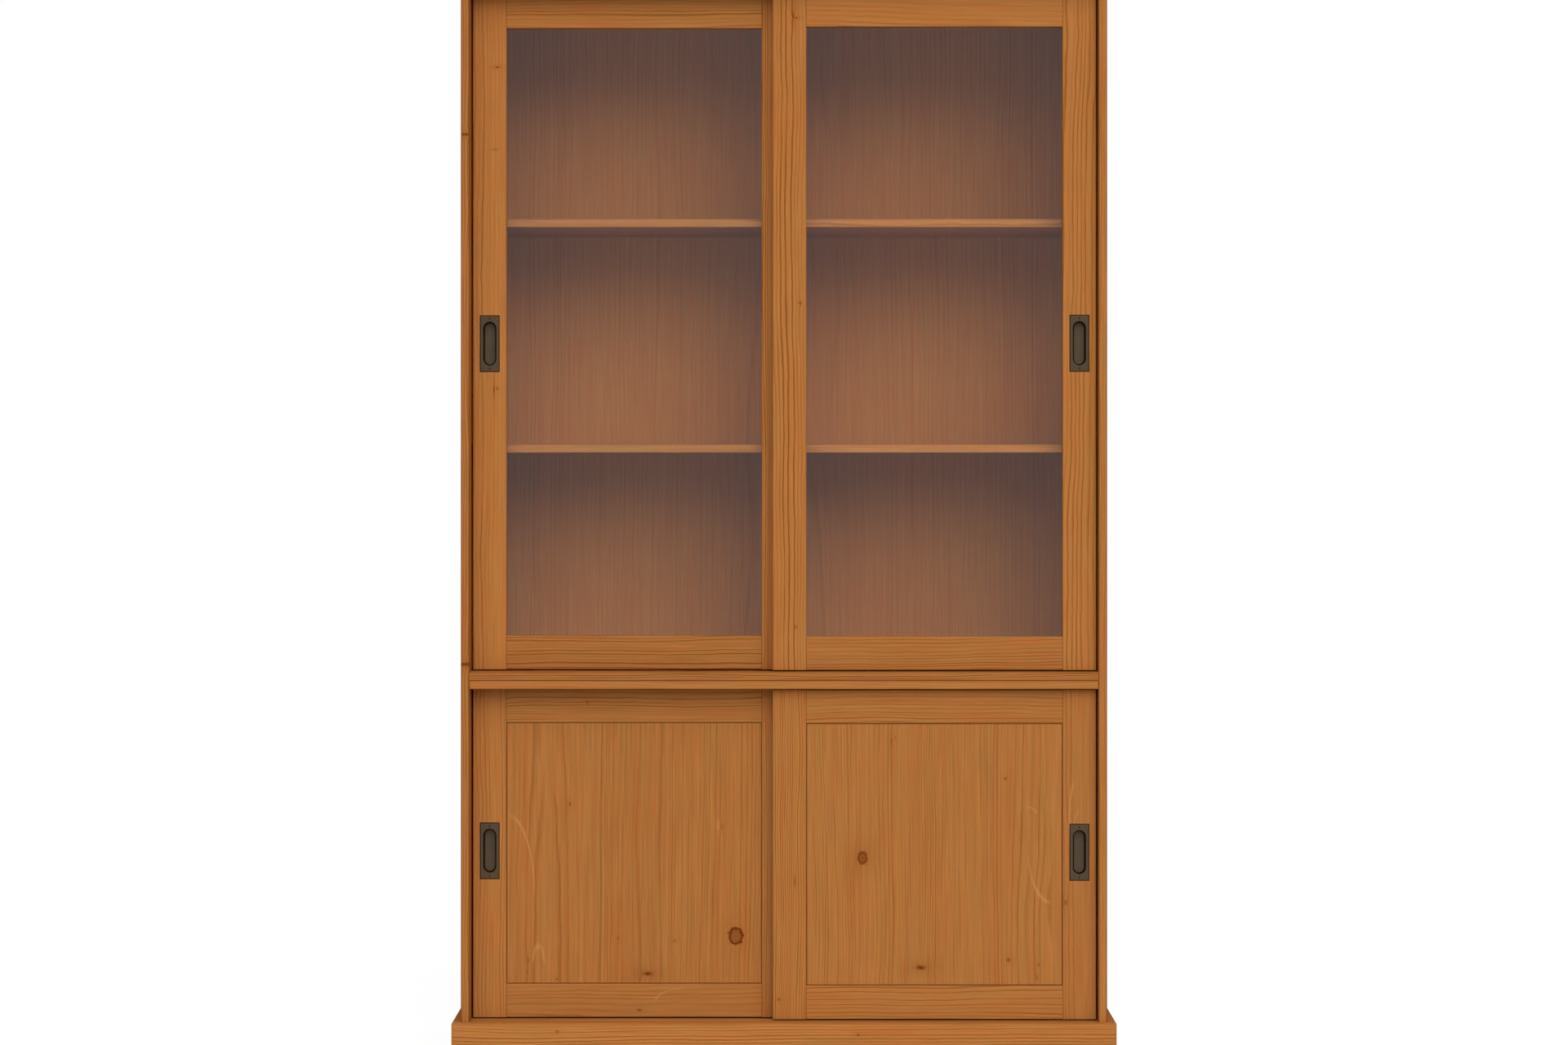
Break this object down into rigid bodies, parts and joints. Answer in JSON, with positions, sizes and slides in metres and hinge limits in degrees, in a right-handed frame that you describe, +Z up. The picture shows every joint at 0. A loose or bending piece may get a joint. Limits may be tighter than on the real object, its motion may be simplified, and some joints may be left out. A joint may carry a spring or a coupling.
{
  "type": "bookcase with sliding doors",
  "caption": "Tall wooden bookcase with glazed sliding doors over panelled sliding doors, loose shelves inside, a plinth and flush finger pulls.",
  "frame": {"origin": "on the floor, in the middle of the footprint", "axes": "+X to the right along the front, -Y out of the front, +Z up"},
  "size_m": [1.232, 0.396, 2.017],
  "materials": {
    "pine_boards": "stained and satin lacquered pine",
    "pine_doors": "stained and satin lacquered pine",
    "pine_panels": "stained and satin lacquered knotty pine",
    "back_sheet": "stained thin sheet",
    "clear_glass": "clear polished sheet glass",
    "dark_bronze": "dark bronzed metal, satin",
    "plated_steel": "zinc plated steel",
    "nylon": "dark moulded nylon"
  },
  "bodies": {
    "carcass": {"side_panel_left": "pine_boards", "side_panel_right": "pine_boards", "bottom_board": "pine_boards", "mid_board": "pine_boards", "top_board": "pine_boards", "lower_guide_board": "pine_boards", "upper_guide_board": "pine_boards", "lower_divider": "pine_boards", "upper_divider": "pine_boards", "back_panel": "back_sheet", "plinth_front": "pine_boards", "plinth_left": "pine_boards", "plinth_right": "pine_boards", "shelf_battens": "pine_boards", "lower_shelf_left": "pine_boards", "upper_shelf_left_1": "pine_boards", "upper_shelf_left_2": "pine_boards", "lower_shelf_right": "pine_boards", "upper_shelf_right_1": "pine_boards", "upper_shelf_right_2": "pine_boards"},
    "upper_left_door": {"upper_left_door_left_stile": "pine_doors", "upper_left_door_right_stile": "pine_doors", "upper_left_door_top_rail": "pine_doors", "upper_left_door_bottom_rail": "pine_doors", "upper_left_door_glass": "clear_glass", "upper_left_door_pull": "dark_bronze", "upper_left_door_top_guides": "nylon", "upper_left_door_roller_brackets": "plated_steel"},
    "upper_left_door_left_wheel": {"upper_left_door_left_wheel": "nylon"},
    "upper_left_door_right_wheel": {"upper_left_door_right_wheel": "nylon"},
    "upper_right_door": {"upper_right_door_left_stile": "pine_doors", "upper_right_door_right_stile": "pine_doors", "upper_right_door_top_rail": "pine_doors", "upper_right_door_bottom_rail": "pine_doors", "upper_right_door_glass": "clear_glass", "upper_right_door_pull": "dark_bronze", "upper_right_door_top_guides": "nylon", "upper_right_door_roller_brackets": "plated_steel"},
    "upper_right_door_left_wheel": {"upper_right_door_left_wheel": "nylon"},
    "upper_right_door_right_wheel": {"upper_right_door_right_wheel": "nylon"},
    "lower_left_door": {"lower_left_door_left_stile": "pine_doors", "lower_left_door_right_stile": "pine_doors", "lower_left_door_top_rail": "pine_doors", "lower_left_door_bottom_rail": "pine_doors", "lower_left_door_panel": "pine_panels", "lower_left_door_pull": "dark_bronze", "lower_left_door_top_guides": "nylon", "lower_left_door_roller_brackets": "plated_steel"},
    "lower_left_door_left_wheel": {"lower_left_door_left_wheel": "nylon"},
    "lower_left_door_right_wheel": {"lower_left_door_right_wheel": "nylon"},
    "lower_right_door": {"lower_right_door_left_stile": "pine_doors", "lower_right_door_right_stile": "pine_doors", "lower_right_door_top_rail": "pine_doors", "lower_right_door_bottom_rail": "pine_doors", "lower_right_door_panel": "pine_panels", "lower_right_door_pull": "dark_bronze", "lower_right_door_top_guides": "nylon", "lower_right_door_roller_brackets": "plated_steel"},
    "lower_right_door_left_wheel": {"lower_right_door_left_wheel": "nylon"},
    "lower_right_door_right_wheel": {"lower_right_door_right_wheel": "nylon"}
  },
  "joints": [
    {"name": "upper_left_door_slide", "type": "slide", "parent": "carcass", "child": "upper_left_door", "axis": [1, 0, 0], "range_m": [0, 0.56]},
    {"name": "upper_left_door_left_wheel_spin", "type": "hinge", "parent": "upper_left_door", "child": "upper_left_door_left_wheel", "pos_m": [-0.481, -0.13, 0.7307], "axis": [0, 1, 0], "continuous": true},
    {"name": "upper_left_door_right_wheel_spin", "type": "hinge", "parent": "upper_left_door", "child": "upper_left_door_right_wheel", "pos_m": [-0.079, -0.13, 0.7307], "axis": [0, 1, 0], "continuous": true},
    {"name": "upper_right_door_slide", "type": "slide", "parent": "carcass", "child": "upper_right_door", "axis": [1, 0, 0], "range_m": [-0.56, 0]},
    {"name": "upper_right_door_left_wheel_spin", "type": "hinge", "parent": "upper_right_door", "child": "upper_right_door_left_wheel", "pos_m": [0.079, -0.155, 0.7307], "axis": [0, 1, 0], "continuous": true},
    {"name": "upper_right_door_right_wheel_spin", "type": "hinge", "parent": "upper_right_door", "child": "upper_right_door_right_wheel", "pos_m": [0.481, -0.155, 0.7307], "axis": [0, 1, 0], "continuous": true},
    {"name": "lower_left_door_slide", "type": "slide", "parent": "carcass", "child": "lower_left_door", "axis": [1, 0, 0], "range_m": [0, 0.56]},
    {"name": "lower_left_door_left_wheel_spin", "type": "hinge", "parent": "lower_left_door", "child": "lower_left_door_left_wheel", "pos_m": [-0.481, -0.13, 0.0807], "axis": [0, 1, 0], "continuous": true},
    {"name": "lower_left_door_right_wheel_spin", "type": "hinge", "parent": "lower_left_door", "child": "lower_left_door_right_wheel", "pos_m": [-0.079, -0.13, 0.0807], "axis": [0, 1, 0], "continuous": true},
    {"name": "lower_right_door_slide", "type": "slide", "parent": "carcass", "child": "lower_right_door", "axis": [1, 0, 0], "range_m": [-0.56, 0]},
    {"name": "lower_right_door_left_wheel_spin", "type": "hinge", "parent": "lower_right_door", "child": "lower_right_door_left_wheel", "pos_m": [0.079, -0.155, 0.0807], "axis": [0, 1, 0], "continuous": true},
    {"name": "lower_right_door_right_wheel_spin", "type": "hinge", "parent": "lower_right_door", "child": "lower_right_door_right_wheel", "pos_m": [0.481, -0.155, 0.0807], "axis": [0, 1, 0], "continuous": true}
  ],
  "couplings": [
    {"joint": "upper_left_door_left_wheel_spin", "follows": "upper_left_door_slide", "rad_per_m": 83.333},
    {"joint": "upper_left_door_right_wheel_spin", "follows": "upper_left_door_slide", "rad_per_m": 83.333},
    {"joint": "upper_right_door_left_wheel_spin", "follows": "upper_right_door_slide", "rad_per_m": 83.333},
    {"joint": "upper_right_door_right_wheel_spin", "follows": "upper_right_door_slide", "rad_per_m": 83.333},
    {"joint": "lower_left_door_left_wheel_spin", "follows": "lower_left_door_slide", "rad_per_m": 83.333},
    {"joint": "lower_left_door_right_wheel_spin", "follows": "lower_left_door_slide", "rad_per_m": 83.333},
    {"joint": "lower_right_door_left_wheel_spin", "follows": "lower_right_door_slide", "rad_per_m": 83.333},
    {"joint": "lower_right_door_right_wheel_spin", "follows": "lower_right_door_slide", "rad_per_m": 83.333}
  ]
}
